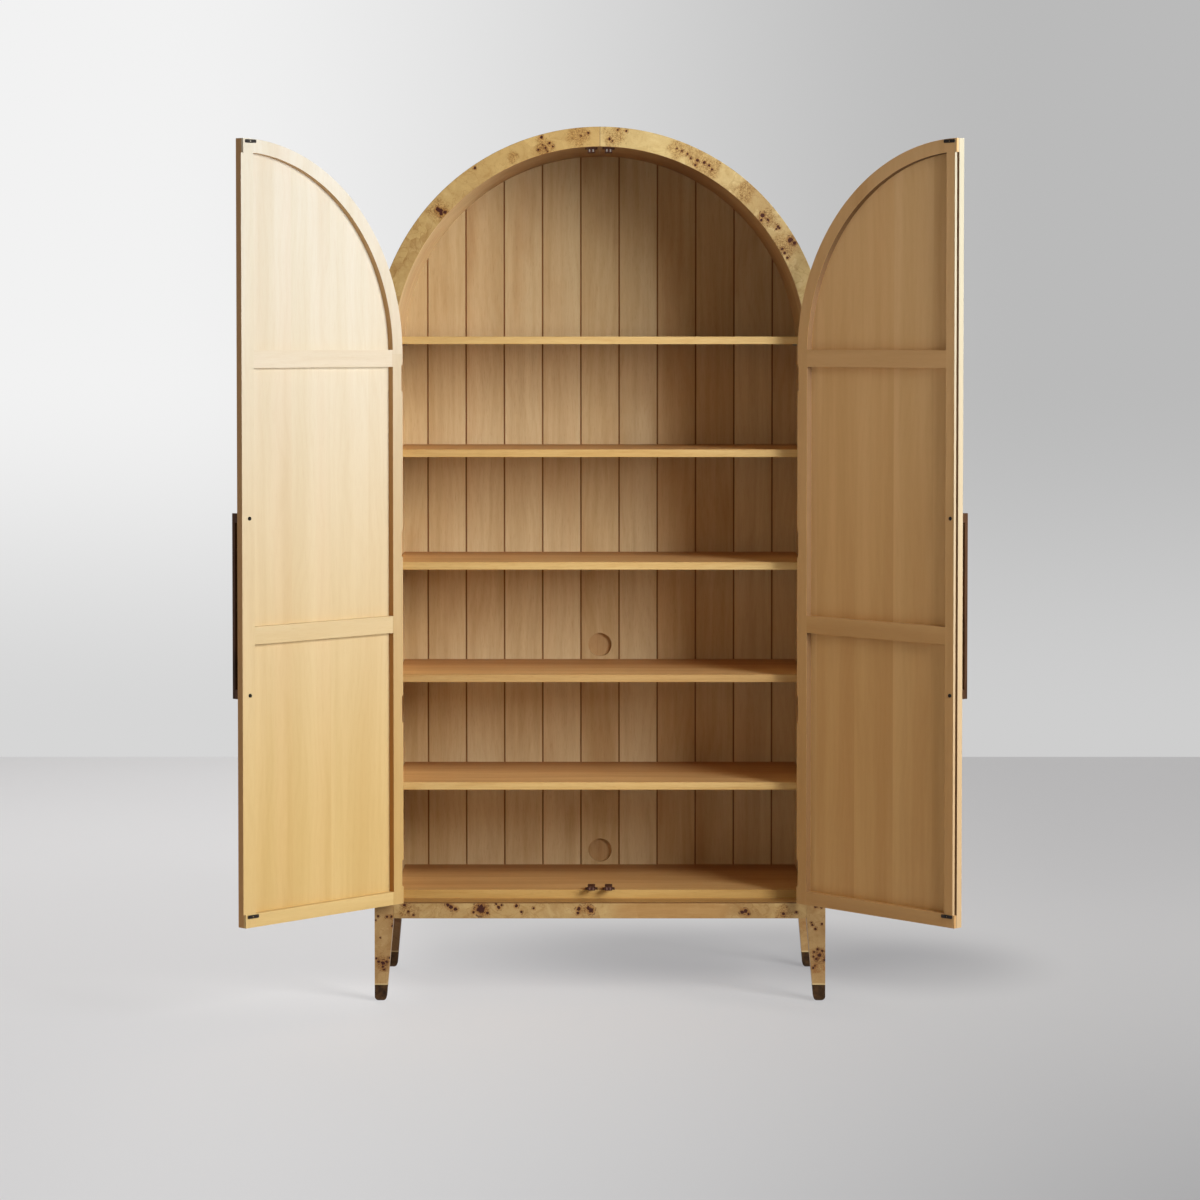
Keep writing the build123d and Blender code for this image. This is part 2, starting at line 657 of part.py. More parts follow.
def meeting_profile(side, lipped):
    """Section of a meeting stile: lip on the left door, matching rabbet in the right one."""
    edge = DOOR_EDGE_X
    front = DOOR_SKIN
    back = DOOR_THICK
    root = edge + MEETING_STILE
    if not lipped:
        corner = [(edge, back - MEETING_BEVEL_DEPTH), (edge + MEETING_BEVEL, back)]
    elif side == LEFT:
        face = back - LIP_THICK
        tip = edge - LIP_REACH
        corner = [(edge, face), (tip, face), (tip, back)]
    else:
        face = back - LIP_THICK - LIP_CLEARANCE
        wall = LIP_REACH - edge + LIP_CLEARANCE
        corner = [(edge, face), (wall, face), (wall, back)]
    outline = [(root, front), (edge, front)] + corner + [(root, back)]
    return [(side * x, y) for x, y in outline]


def meeting_stile(side):
    past = LIP_END_GAP if side == RIGHT else 0.0
    low = DOOR_BOTTOM_Z + LIP_FROM_BOTTOM - past
    high = DOOR_CORNER_Z - LIP_FROM_TOP + past
    body = column(meeting_profile(side, False), DOOR_BOTTOM_Z, low)
    body += column(meeting_profile(side, True), low, high)
    body += column(meeting_profile(side, False), high, DOOR_CORNER_Z + LIP_FROM_TOP)
    body &= arched(DOOR_R, DOOR_BOTTOM_Z, DOOR_SKIN, DOOR_THICK)
    for z in BOLT_HEIGHTS:
        body -= rod_y(side * bolt_x(), DOOR_SKIN, DOOR_THICK, z, BOLT_R + BOLT_FIT)
    return body


# ---- handles ----
def handle_bar(side):
    x = side * bolt_x()
    y1 = -HANDLE_STANDOFF
    low, high = BOLT_HEIGHTS[0] - HANDLE_OVERHANG, BOLT_HEIGHTS[1] + HANDLE_OVERHANG
    bar = block(x - HANDLE_WIDTH / 2, x + HANDLE_WIDTH / 2, y1 - HANDLE_THICK, y1, low, high)
    return chamfer(bar.edges(), HANDLE_EASE)


def handle_posts(side):
    x = side * bolt_x()
    made = []
    for z in BOLT_HEIGHTS:
        low, high = z - HANDLE_POST_HEIGHT / 2, z + HANDLE_POST_HEIGHT / 2
        foot = block(x - HANDLE_WIDTH / 2, x + HANDLE_WIDTH / 2, -HANDLE_STANDOFF, 0, low, high)
        foot = chamfer(foot.edges().filter_by(Axis.Y), HANDLE_EASE)
        made.append(foot - rod_y(x, -BOLT_GRIP - BOLT_FIT, 0, z, BOLT_R + THREAD_FIT))
    return made


def handle_bolts(side):
    x = side * bolt_x()
    made = []
    for z in BOLT_HEIGHTS:
        bolt = rod_y(x, -BOLT_GRIP, DOOR_THICK, z, BOLT_R)
        head = rod_y(x, DOOR_THICK, DOOR_THICK + BOLT_HEAD_HEIGHT, z, BOLT_HEAD_R)
        head = fillet(head.edges().sort_by(Axis.Y)[-1], BOLT_HEAD_ROUND)
        made.append(bolt + head)
    return made


# ---- catches ----
def magnet_front():
    """Depth of the magnets' front faces, just behind the shut strike plates."""
    return DOOR_THICK + STRIKE_THICK + MAGNET_TO_STRIKE


def catch_levels():
    """Middle heights of the lower and the upper magnets."""
    low = DECK_TOP_Z + CATCH_BASE_THICK + CATCH_BODY_HEIGHT / 2
    high = SPRING_Z + R_IN - CATCH_DROP - CATCH_BODY_HEIGHT / 2
    return low, high


def catch_bodies():
    """Two catches on the deck and two under the crown of the arch."""
    low, high = catch_levels()
    front = magnet_front() + MAGNET_OUT
    made = []
    for side in SIDES:
        x = side * CATCH_OFFSET
        reach = CATCH_BODY_WIDTH / 2
        ears = CATCH_BASE_WIDTH / 2
        for z in (low, high):
            body = block(x - reach, x + reach, front, FLOOR_FRONT_Y + CATCH_BODY_BACK,
                         z - CATCH_BODY_HEIGHT / 2, z + CATCH_BODY_HEIGHT / 2)
            body = chamfer(body.edges().filter_by(Axis.Y), CATCH_EASE)
            foot = z - CATCH_BODY_HEIGHT / 2 - CATCH_BASE_THICK if z == low else z + CATCH_BODY_HEIGHT / 2
            grow = 0 if z == low else CATCH_DROP
            base = block(x - ears, x + ears, FLOOR_FRONT_Y if z == low else front,
                         FLOOR_FRONT_Y + CATCH_BASE_BACK, foot, foot + CATCH_BASE_THICK + grow)
            base &= arched(R_IN, RAIL_TOP_Z, 0, BACK_FRONT_Y)
            for m in (-1, 1):
                cut_x = x + m * MAGNET_PITCH / 2
                body -= block(cut_x - MAGNET_WIDTH / 2, cut_x + MAGNET_WIDTH / 2, front, FLOOR_FRONT_Y,
                              z - MAGNET_HEIGHT / 2, z + MAGNET_HEIGHT / 2)
            made.append(body + base)
    return solids_of(made)


def catch_magnets():
    """Bright pole pieces standing a little out of each catch."""
    made = []
    fit = MAGNET_FIT
    for side in SIDES:
        for z in catch_levels():
            for m in (-1, 1):
                x = side * CATCH_OFFSET + m * MAGNET_PITCH / 2
                made.append(block(x - MAGNET_WIDTH / 2 + fit, x + MAGNET_WIDTH / 2 - fit,
                                  magnet_front(), FLOOR_FRONT_Y - fit,
                                  z - MAGNET_HEIGHT / 2 + fit, z + MAGNET_HEIGHT / 2 - fit))
    return solids_of(made)


def strike_plates(side):
    """Plates that the magnets hold, on the inner face of the meeting stile."""
    x = side * (DOOR_EDGE_X + STRIKE_EDGE)
    made = []
    for z in catch_levels():
        plate = block(x - STRIKE_WIDTH / 2, x + STRIKE_WIDTH / 2, DOOR_THICK, DOOR_THICK + STRIKE_THICK,
                      z - STRIKE_HEIGHT / 2, z + STRIKE_HEIGHT / 2)
        plate = fillet(plate.edges().filter_by(Axis.Y), STRIKE_CORNER_R)
        plate -= rod_y(x, DOOR_THICK, DOOR_THICK + STRIKE_THICK, z, STRIKE_HOLE_R)
        made.append(plate)
    return made


# ---- every piece by name ----
def carcase_pieces():
    pieces = {"front_rail": cross_rail(False), "rear_rail": cross_rail(True)}
    pieces["corner_blocks"] = corner_blocks()
    for side, word in ((LEFT, "left"), (RIGHT, "right")):
        for rear, place in ((False, "front"), (True, "rear")):
            pieces[f"{place}_{word}_leg"] = leg(side, rear)
            pieces[f"{place}_{word}_ferrule"] = ferrule(side, rear)
        pieces[f"{word}_side_rail"] = side_rail(side)
        pieces[f"{word}_post"] = post(side)
        pieces[f"{word}_arch_face"] = arch_face(side)
        pieces[f"{word}_side_panel"] = side_panel(side)
        pieces[f"{word}_arch_shell"] = arch_shell(side)
    pieces["deck"] = deck()
    for n, bottom in enumerate(SHELF_BOTTOMS):
        pieces[f"shelf_{n + 1}"] = shelf(bottom)
    pieces["shelf_pins"] = shelf_pins()
    pieces["back_boards"] = back_boards()
    pieces["frame_hinge_leaves"] = solids_of(hinge_leaves(LEFT, False) + hinge_leaves(RIGHT, False))
    pieces["frame_hinge_screws"] = solids_of(hinge_screws(LEFT, False) + hinge_screws(RIGHT, False))
    pieces["hinge_pins"] = hinge_pins()
    pieces["catch_bodies"] = catch_bodies()
    pieces["catch_magnets"] = catch_magnets()
    return pieces


def door_pieces(side, word):
    shut = {
        "door_panel": [door_skin(side)],
        "hinge_stile": [hinge_stile(side)],
        "meeting_stile": [meeting_stile(side)],
        "arch_rail": [arch_rail(side)],
        "upper_rail": [door_rail(side, UPPER_MID_RAIL_Z, UPPER_MID_RAIL_Z + MID_RAIL)],
        "lower_rail": [door_rail(side, LOWER_MID_RAIL_Z, LOWER_MID_RAIL_Z + MID_RAIL)],
        "bottom_rail": [door_rail(side, DOOR_BOTTOM_Z, DOOR_BOTTOM_Z + BOTTOM_RAIL)],
        "door_hinge_leaves": hinge_leaves(side, True),
        "door_hinge_screws": hinge_screws(side, True),
        "handle_bar": [handle_bar(side)],
        "handle_posts": handle_posts(side),
        "handle_bolts": handle_bolts(side),
        "strike_plates": strike_plates(side),
    }
    return {f"{word}_{name}": solids_of([swung(s, side) for s in shapes]) for name, shapes in shut.items()}


os.makedirs("parts", exist_ok=True)
everything = carcase_pieces()
everything.update(door_pieces(LEFT, "left"))
everything.update(door_pieces(RIGHT, "right"))
for name, shape in everything.items():
    export_step(shape, f"parts/{name}.step")
print(len(everything), "pieces")
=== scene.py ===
import bpy
from math import cos, pi, radians, sin
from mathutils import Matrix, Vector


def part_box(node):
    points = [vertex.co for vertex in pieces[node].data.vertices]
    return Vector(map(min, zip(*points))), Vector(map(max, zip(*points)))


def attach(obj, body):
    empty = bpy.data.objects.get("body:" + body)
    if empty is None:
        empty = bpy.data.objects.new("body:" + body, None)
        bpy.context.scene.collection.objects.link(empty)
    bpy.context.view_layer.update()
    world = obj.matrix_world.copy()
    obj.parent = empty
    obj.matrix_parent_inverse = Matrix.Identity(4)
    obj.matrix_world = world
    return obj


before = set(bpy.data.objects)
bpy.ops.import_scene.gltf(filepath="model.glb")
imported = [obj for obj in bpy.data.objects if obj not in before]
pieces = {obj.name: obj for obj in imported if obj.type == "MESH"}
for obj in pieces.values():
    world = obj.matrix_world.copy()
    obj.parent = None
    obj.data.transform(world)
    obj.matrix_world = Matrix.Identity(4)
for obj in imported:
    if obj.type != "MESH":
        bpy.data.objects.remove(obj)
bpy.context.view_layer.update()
bpy.ops.object.select_all(action="DESELECT")


# ---- legs ----
# Four square legs, tapered on their two inner faces and covered in poplar burl veneer. The burl is a pale
# golden wood with a cloudy figure and clusters of small red-brown eyes. A thin pale line runs round each leg
# where the wood meets the metal ferrule.
class Wire:
    """A number, a position or a colour on its way through the nodes of a finish."""

    def __init__(self, tree, socket):
        self.tree = tree
        self.socket = socket

    def node(self, kind, settings=None, sockets=None, output=0):
        made = self.tree.nodes.new("ShaderNode" + kind)
        for name, value in (settings or {}).items():
            setattr(made, name, value)
        for name, value in (sockets or {}).items():
            if isinstance(value, Wire):
                self.tree.links.new(value.socket, made.inputs[name])
            else:
                made.inputs[name].default_value = value
        return Wire(self.tree, made.outputs[output])

    def maths(self, operation, *others):
        return self.node("Math", {"operation": operation}, dict(enumerate((self,) + others)))

    def __add__(self, other):
        return self.maths("ADD", other)

    __radd__ = __add__

    def __sub__(self, other):
        return self.maths("SUBTRACT", other)

    def __mul__(self, other):
        return self.maths("MULTIPLY", other)

    def __pow__(self, other):
        return self.maths("POWER", other)

    def above(self, low, high):
        """0 below low, 1 above high and a smooth step between them; high may be the lower one."""
        ends = {"Value": self, "From Min": low, "From Max": high}
        return self.node("MapRange", {"interpolation_type": "SMOOTHSTEP"}, ends)

    def tinted(self, low, high):
        """An amount as a colour between two others."""
        return self.node("Mix", {"data_type": "RGBA"}, {0: self, 6: low, 7: high}, output=2)

    def axis(self, n):
        return self.node("SeparateXYZ", {}, {0: self}, output=n)

    def scaled(self, x, y, z):
        return self.node("Mapping", {}, {"Vector": self, "Scale": (x, y, z)})

    def moved(self, offset):
        return self.node("VectorMath", {"operation": "ADD"}, {0: self, 1: offset})

    def noise(self, scale, detail=2.0, roughness=0.5, distortion=0.0, output=0):
        sockets = {"Vector": self, "Scale": scale, "Detail": detail, "Roughness": roughness,
                   "Distortion": distortion}
        return self.node("TexNoise", {}, sockets, output)

    def cells(self, scale, output=0):
        return self.node("TexVoronoi", {}, {"Vector": self, "Scale": scale}, output)

    def over(self, other, amount):
        """This colour going over to another one."""
        return self.node("Mix", {"data_type": "RGBA"}, {0: amount, 6: self, 7: other}, output=2)

    def times(self, other, amount=1.0):
        """This colour multiplied by another one."""
        return self.node("Mix", {"data_type": "RGBA", "blend_type": "MULTIPLY"},
                         {0: amount, 6: self, 7: other}, output=2)


def tint(red, green, blue):
    """A colour given as it looks on paper, 0 to 255, made linear."""
    parts = [value / 255 for value in (red, green, blue)]
    parts = [v / 12.92 if v <= 0.04045 else ((v + 0.055) / 1.055) ** 2.4 for v in parts]
    return (*parts, 1.0)


def finish_of(name):
    """A new empty finish: its shader and a wire that carries the place on the piece."""
    made = bpy.data.materials.new(name)
    made.use_nodes = True
    tree = made.node_tree
    origin = tree.nodes.new("ShaderNodeTexCoord")
    return made, tree.nodes["Principled BSDF"], Wire(tree, origin.outputs["Object"])


def coat_with(shader, colour, roughness, height, depth, coat=0.0, metallic=0.0):
    """Joins colour, roughness and surface height to the shader."""
    tree = colour.tree
    tree.links.new(colour.socket, shader.inputs["Base Color"])
    tree.links.new(roughness.socket, shader.inputs["Roughness"])
    bump = colour.node("Bump", {}, {"Strength": 1.0, "Distance": depth, "Height": height})
    tree.links.new(bump.socket, shader.inputs["Normal"])
    shader.inputs["Coat Weight"].default_value = coat
    shader.inputs["Coat Roughness"].default_value = 0.3
    shader.inputs["Specular IOR Level"].default_value = 0.5 if metallic else 0.32
    shader.inputs["Metallic"].default_value = metallic


def laid_on(material, *names):
    """Gives a finish to the named pieces."""
    for name in names:
        for held in pieces[name].material_slots:
            held.material = material


BURL_PALE = tint(217, 195, 141)
BURL_DEEP = tint(182, 151, 100)
EYE = tint(70, 24, 6)
HALO = tint(212, 164, 106)
SUNLIT = tint(238, 214, 150)


def to_nearest(place, spots):
    """How many of its own radii a place stands from the nearest of the spots, each (x, z, radius)."""
    nearest = None
    for x, z, radius in spots:
        away = place.node("VectorMath", {"operation": "DISTANCE"}, {0: place, 1: (x, 0.0, z)}, output=1)
        away = away * (1 / radius)
        nearest = away if nearest is None else nearest.maths("MINIMUM", away)
    return nearest


def burl(place, eyes, spread=0.66, busy=(), lit_top=None):
    """Burl veneer: its colour, roughness and height. It has eyes at given spots near the front, curly grain
    at busy ones, more eyes in loose clusters where the spread is low enough, and a pale ground as painted
    light by the amount given last."""
    # Sheets of veneer with wavy edges, each cut from its own part of the tree.
    wave = place.noise(14.0, 2.0, output=1)
    wave = wave.node("VectorMath", {"operation": "SCALE"}, {0: wave, "Scale": 0.05})
    sheet = place.moved(wave).cells(8.0, output=1)
    own = place.moved(sheet)
    # Cloudy figure, curly grain, flecks and thin veins.
    cloud = own.noise(6.0, 4.0, 0.55, 0.5)
    curl = own.noise(26.0, 4.0, 0.6, 1.2)
    fleck = place.noise(240.0, 2.0, 0.6)
    depth = cloud * 0.75 + sheet.axis(0) * 0.16 + curl * 0.2
    colour = depth.above(0.32, 0.8).tinted(BURL_PALE, BURL_DEEP)
    colour = colour.times(tint(222, 200, 162), curl.above(0.52, 0.68) * 0.4)
    colour = colour.over(tint(226, 208, 160), curl.above(0.44, 0.32) * 0.35)
    vein = (own.noise(11.0, 3.0, 0.6, 1.0) - 0.5).maths("ABSOLUTE").above(0.012, 0.0)
    colour = colour.times(tint(196, 166, 122), vein * 0.35)
    # Painted light: the ground goes over to a pale colour where the piece is most strongly lit.
    if lit_top:
        colour = colour.over(SUNLIT, lit_top)
    # Loose clusters of eyes, with ragged outlines and a warm halo.
    gather = place.noise(6.0, 2.0, 0.6).above(spread, spread + 0.14)
    grit = place.cells(80.0)
    dice = place.cells(80.0, output=1)
    ragged = (place.noise(400.0, 3.0, 0.6) - 0.5) * 1.2 + (place.noise(150.0, 2.0) - 0.5) * 1.7
    chosen = dice.axis(0) * 0.6 + gather * 0.7
    eye = (grit + ragged * 0.12).above(0.30, 0.22) * chosen.above(0.74, 0.80)
    halo = grit.above(0.80, 0.3) * chosen.above(0.6, 0.85)
    twist = gather
    front = place.scaled(1.0, 0.5, 1.0)
    if eyes:
        # Eyes at their own places, the larger ones with a broken ring.
        near = to_nearest(front, eyes) + ragged
        eye = eye.maths("MAXIMUM", near.above(1.15, 0.85))
        halo = halo.maths("MAXIMUM", near.above(2.4, 1.0))
        ring = near.above(1.65, 1.8) * near.above(2.2, 2.05) * place.noise(95.0, 1.0).above(0.5, 0.56)
        eye = eye.maths("MAXIMUM", ring * 0.7)
    if busy:
        # Patches of tight curl.
        torn = (place.noise(34.0, 3.0, 0.6) - 0.5) * 2.6
        twist = twist.maths("MAXIMUM", (to_nearest(front, busy) + torn).above(1.2, 0.5))
    line = (place.noise(95.0, 3.0, 0.6, 2.6) - 0.5).maths("ABSOLUTE").above(0.06, 0.0)
    colour = colour.times(tint(232, 208, 164), twist * 0.4)
    colour = colour.times(tint(150, 108, 62), twist * line * 0.95)
    colour = colour.times(HALO, halo * 0.6)
    colour = colour.over(EYE, eye)
    colour = colour.times(tint(240, 230, 214), fleck.above(0.5, 0.68) * 0.4)
    roughness = 0.42 + eye * 0.12 + fleck * 0.08
    height = curl * 0.2 + fleck * 0.12 - eye * 0.5
    return colour, roughness, height


LEG_EYES = [(-0.5194, 0.2073, 0.003), (-0.5094, 0.2073, 0.003), (-0.5073, 0.185, 0.0026),
            (-0.5299, 0.0937, 0.0045), (-0.5402, 0.0969, 0.0032), (-0.5206, 0.0969, 0.003),
            (-0.5299, 0.0846, 0.0028), (-0.5275, 0.0777, 0.0026), (-0.5462, 0.1052, 0.0026),
            (-0.5135, 0.106, 0.0026), (0.5305, 0.2336, 0.0035), (0.5403, 0.2299, 0.003),
            (0.5184, 0.187, 0.0028), (0.5258, 0.1771, 0.0032), (0.5357, 0.1133, 0.0045),
            (0.5422, 0.1236, 0.003), (0.5279, 0.1035, 0.003), (0.5479, 0.1011, 0.0028),
            (0.5249, 0.2316, 0.0028), (0.5158, 0.1925, 0.0022), (0.5412, 0.1895, 0.0024),
            (0.531, 0.1274, 0.0026), (0.5224, 0.1205, 0.0028), (0.521, 0.1085, 0.0022),
            (-0.5412, 0.2085, 0.0024), (-0.5468, 0.1985, 0.002), (-0.5362, 0.156, 0.0018)]
REAR_LEG_Y = 0.434
FERRULE_TOP_Z = 0.04
PALE_LINE_TOP_Z = 0.0436
leg_burl, shader, place = finish_of("leg_burl")
colour, roughness, height = burl(place, LEG_EYES, 0.64, [(-0.5299, 0.092, 0.02), (0.536, 0.112, 0.02)])
up = place.axis(2)
line = up.above(FERRULE_TOP_Z - 0.0002, FERRULE_TOP_Z + 0.0002)
line = line * up.above(PALE_LINE_TOP_Z + 0.0004, PALE_LINE_TOP_Z - 0.0004)
colour = colour.times(tint(220, 203, 192))
# Painted shade: the rear left leg is made darker, as it stands in the cabinet's shadow.
rear_left_shade = place.axis(1).above(REAR_LEG_Y - 0.014, REAR_LEG_Y - 0.004) * place.axis(0).above(0.0, -0.1)
colour = colour.times(tint(206, 190, 178), rear_left_shade)
colour = colour.over(tint(214, 190, 142), line * 0.7)
coat_with(shader, colour, roughness, height, 0.0004, coat=0.1)
laid_on(leg_burl, *[f"{end}_{side}_leg" for end in ("front", "rear") for side in ("left", "right")])


# ---- ferrules ----
# A cast bronze cup under each leg, flush with the tapered wood and rounded at the toe where it meets the
# floor. It has a dull dark brown patina, rubbed a little lighter near the toe.
ferrule_bronze, shader, place = finish_of("ferrule_bronze")
blotch = place.noise(60.0, 4.0, 0.6)
scuff = place.scaled(1.0, 1.0, 0.3).noise(420.0, 2.0, 0.6)
worn = place.axis(2).above(0.012, 0.001)
colour = blotch.above(0.35, 0.68).tinted(tint(88, 62, 36), tint(52, 36, 22))
colour = colour.over(tint(112, 82, 50), worn * 0.4 + scuff.above(0.6, 0.75) * 0.2)
roughness = 0.52 + blotch * 0.16 - worn * 0.08
coat_with(shader, colour, roughness, scuff * 0.5 + blotch * 0.5, 0.00015, metallic=0.7)
for side in ("left", "right"):
    laid_on(ferrule_bronze, f"front_{side}_ferrule", f"rear_{side}_ferrule")


# ---- rails and corner blocks ----
# The rails are solid wood, faced outside with the same burl. The plain wood shows on their tops, where the
# front one makes the threshold, and inside. Rough glue blocks fill the corners out of sight.
def grained(place, along, pale, deep, seed=(0.0, 0.0, 0.0), figure=1.0):
    """Plain sliced wood with the grain along one axis: its colour, roughness and height."""
    lengthways = "XYZ".index(along)
    moved = place.moved(seed)
    run = moved.scaled(*[0.05 if n == lengthways else 1.0 for n in range(3)])
    broad = run.noise(13.0, 3.0, 0.55)
    streak = run.noise(64.0, 3.0, 0.6)
    fibre = run.noise(500.0, 2.0, 0.6)
    bend = moved.scaled(*[0.3 if n == lengthways else 1.0 for n in range(3)]).noise(5.0, 2.0)
    across = moved.axis(0 if along == "Y" else 1) + moved.axis(0 if along == "Z" else 2)
    ring = (across * 280.0 + bend * 60.0).maths("SINE").above(-0.2, 1.0)
    pore = run.noise(900.0, 1.0).above(0.66, 0.74)
    colour = (broad * (1.0 - 0.4 * figure) + streak * (0.4 * figure)).above(0.38, 0.64).tinted(pale, deep)
    colour = colour.times(tint(240, 220, 204), run.noise(7.0, 2.0).above(0.5, 0.66) * (0.5 * figure))
    colour = colour.times(tint(236, 222, 202), ring * (0.2 * figure))
    colour = colour.times(tint(232, 216, 194), fibre.above(0.46, 0.68) * (0.34 * figure))
    colour = colour.times(tint(206, 176, 140), pore * (0.3 * figure))
    roughness = 0.52 + streak * 0.08 + pore * 0.1
    height = fibre * 0.4 + ring * 0.08 - pore * 0.5
    return colour, roughness, height


WOOD_PALE = tint(222, 194, 146)
WOOD_DEEP = tint(204, 170, 120)
RAIL_EYES = [(-0.4771, 0.236, 0.0035), (-0.4674, 0.2196, 0.003), (-0.4552, 0.2115, 0.0026),
             (-0.371, 0.236, 0.0045), (-0.3637, 0.2311, 0.005), (-0.3527, 0.2262, 0.0045),
             (-0.2905, 0.2262, 0.0095), (-0.3088, 0.2188, 0.0032), (-0.2747, 0.2164, 0.0032),
             (-0.2471, 0.2299, 0.0045), (-0.241, 0.236, 0.0032), (-0.2539, 0.2385, 0.0026),
             (-0.2044, 0.2341, 0.004), (-0.1922, 0.2188, 0.003), (-0.1617, 0.2279, 0.0026),
             (-0.0519, 0.2262, 0.005), (-0.0538, 0.2164, 0.0035), (-0.0282, 0.2287, 0.004),
             (-0.0221, 0.2238, 0.0065), (0.3476, 0.2188, 0.0045), (0.3549, 0.2213, 0.0045),
             (0.3622, 0.2139, 0.003), (0.4476, 0.2139, 0.0035), (0.4793, 0.2188, 0.003)]
RAIL_TOP_Z = 0.243
FRONT_RAIL_REAR_Y = 0.07
REAR_RAIL_FRONT_Y = 0.434
SIDE_RAIL_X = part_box("right_side_rail")[0].x
rail_burl, shader, place = finish_of("rail_burl")
colour, roughness, height = burl(place, RAIL_EYES, 0.68, [(-0.467, 0.226, 0.024), (-0.29, 0.226, 0.026),
                                                          (-0.03, 0.225, 0.02), (0.45, 0.216, 0.026)])
up = place.axis(2)
straight, _, _ = grained(place, "X", tint(222, 196, 140), tint(202, 172, 116), (0.0, 0.2, 0.5))
colour = colour.over(straight, place.axis(0).above(0.01, 0.06) * place.axis(0).above(0.335, 0.29) * 0.8)
colour = colour.times(tint(230, 217, 205))
# Painted shadow: a thin dark band along the top of the rail faces, just under the threshold.
shadow_under_door = up.above(RAIL_TOP_Z - 0.0034, RAIL_TOP_Z - 0.0028)
colour = colour.over(tint(104, 70, 36), shadow_under_door * 0.9)
plain, _, _ = grained(place, "X", tint(182, 142, 86), tint(164, 124, 70))
within = place.axis(1).above(FRONT_RAIL_REAR_Y - 0.0005, FRONT_RAIL_REAR_Y - 0.0001)
within = within * place.axis(1).above(REAR_RAIL_FRONT_Y + 0.0005, REAR_RAIL_FRONT_Y + 0.0001)
within = within * place.axis(0).maths("ABSOLUTE").above(SIDE_RAIL_X + 0.0006, SIDE_RAIL_X + 0.0002)
bare = up.above(RAIL_TOP_Z - 0.0006, RAIL_TOP_Z - 0.0001).maths("MAXIMUM", within)
coat_with(shader, colour.over(plain, bare), roughness, height, 0.0003, coat=0.1)
laid_on(rail_burl, "front_rail", "rear_rail", "left_side_rail", "right_side_rail")

block_wood, shader, place = finish_of("block_wood")
colour, roughness, height = grained(place, "Z", tint(206, 172, 124), tint(176, 138, 92), (0.3, 0.0, 0.1))
coat_with(shader, colour, roughness + 0.2, height, 0.0005)
laid_on(block_wood, "corner_blocks")


# ---- posts and arch faces ----
# The front of the carcase: an upright post each side and two quarter rings that meet at the crown. The
# burl is laid on their fronts and outer edges, with a butt joint at the crown; the insides are plain.
R_IN = 0.502
SPRING_Z = 1.58
LEFT_ARCH_EYES = [(-0.3926, 1.9297, 0.005), (-0.3854, 1.9201, 0.005), (-0.3757, 1.9237, 0.0045),
                  (-0.3866, 1.9262, 0.006), (-0.3033, 2.0303, 0.0032), (-0.1418, 2.1047, 0.0038),
                  (-0.1493, 2.0735, 0.0028), (-0.1321, 2.0786, 0.0028), (-0.1149, 2.0822, 0.0028),
                  (-0.1224, 2.0904, 0.0028), (-0.1392, 2.0858, 0.002), (-0.1264, 2.0702, 0.002),
                  (-0.0282, 2.1148, 0.003), (-0.0461, 2.1078, 0.0022)]
LEFT_ARCH_SHADES = [(-0.386, 1.925, 0.03), (-0.135, 2.082, 0.026), (-0.05, 2.108, 0.03),
                    (-0.2147, 2.059, 0.016)]
RIGHT_ARCH_EYES = [(0.0434, 2.1218, 0.003), (0.0635, 2.1194, 0.003), (0.0229, 2.1001, 0.003),
                   (0.0301, 2.0953, 0.0025), (0.186, 2.0772, 0.0022), (0.1985, 2.0712, 0.0025),
                   (0.2112, 2.0641, 0.0028), (0.2197, 2.0537, 0.0025), (0.2311, 2.0373, 0.0035),
                   (0.236, 2.0482, 0.0035), (0.2529, 2.0433, 0.0035), (0.2641, 2.0362, 0.0028),
                   (0.2712, 2.0263, 0.0025), (0.394, 1.9157, 0.005), (0.3907, 1.9043, 0.0035),
                   (0.4069, 1.9043, 0.0035), (0.4312, 1.8881, 0.0035), (0.4275, 1.8826, 0.0028),
                   (0.4348, 1.885, 0.0028), (0.4615, 1.856, 0.006), (0.4712, 1.8487, 0.004),
                   (0.4422, 1.8342, 0.0035), (0.447, 1.8245, 0.0035), (0.4543, 1.8124, 0.0035)]
RIGHT_ARCH_SHADES = [(0.035, 2.108, 0.03), (0.19, 2.075, 0.03), (0.235, 2.05, 0.036), (0.27, 2.03, 0.024),
                     (0.352, 1.977, 0.03), (0.402, 1.91, 0.028), (0.452, 1.85, 0.034)]


def from_axis(place):
    """How far a place stands from the middle plane, or from the centre of the arch above the spring line."""
    over = (place.axis(2) - SPRING_Z).maths("MAXIMUM", 0.0)
    return (place.axis(0) ** 2.0 + over ** 2.0).maths("SQRT")


